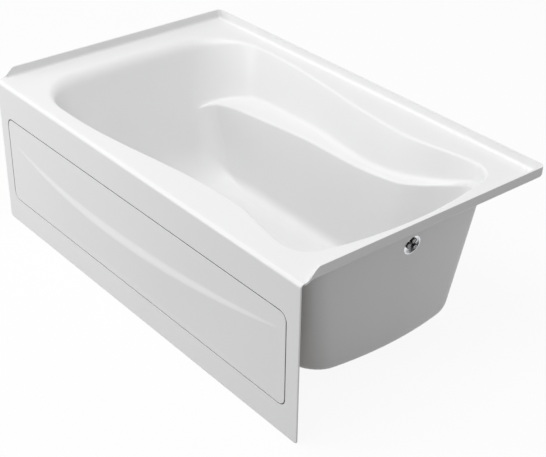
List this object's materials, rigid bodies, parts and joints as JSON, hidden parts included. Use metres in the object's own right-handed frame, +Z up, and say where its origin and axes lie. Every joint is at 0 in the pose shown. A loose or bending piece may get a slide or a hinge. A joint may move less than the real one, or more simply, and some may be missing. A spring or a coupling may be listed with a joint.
{
  "type": "alcove bathtub",
  "caption": "Alcove bathtub with a sculpted basin and armrests, a tiling flange on three sides, an apron with a removable access panel, a drain and an overflow.",
  "frame": {"origin": "on the floor under the middle of the tub's overall box", "axes": "+Z up, +X from the backrest end to the drain end, +Y from the apron to the back wall"},
  "size_m": [1.524, 0.914, 0.54],
  "materials": {
    "acrylic": "gloss",
    "panel_acrylic": "gloss",
    "carcass_wood": "sawn",
    "board": "pressed board",
    "glass_fibre": "rough laminate",
    "bright_steel": "zinc",
    "clip_plastic": "moulded",
    "drain_chrome": "polished",
    "white_seal": "soft",
    "black_rubber": "matt",
    "grey_rubber": "matt",
    "nut_brass": "cast",
    "bridge_metal": "die cast"
  },
  "bodies": {
    "tub": {"tub_shell": "acrylic", "panel_clips": "clip_plastic", "base_board": "board", "board_laminate": "glass_fibre", "backrest_bearer": "carcass_wood", "middle_bearer": "carcass_wood", "drain_bearer": "carcass_wood", "apron_head_rail": "carcass_wood", "apron_foot_rail": "carcass_wood", "drain_flange": "drain_chrome", "drain_top_seal": "white_seal", "drain_gasket": "black_rubber", "drain_locknut": "nut_brass", "stopper_cartridge": "bright_steel", "overflow_gasket": "grey_rubber", "overflow_faceplate": "drain_chrome", "overflow_bridge": "bridge_metal", "overflow_screws": "bright_steel"},
    "panel": {"access_panel": "panel_acrylic", "panel_stiffeners": "carcass_wood", "panel_studs": "bright_steel"},
    "stopper": {"stopper_cap": "drain_chrome", "stopper_seal": "black_rubber"}
  },
  "joints": [
    {"name": "panel_pull_off", "type": "slide", "parent": "tub", "child": "panel", "axis": [0, -1, 0], "range_m": [0, 0.06]},
    {"name": "stopper_lift", "type": "slide", "parent": "tub", "child": "stopper", "axis": [0, 0, 1], "range_m": [0, 0.009]}
  ]
}
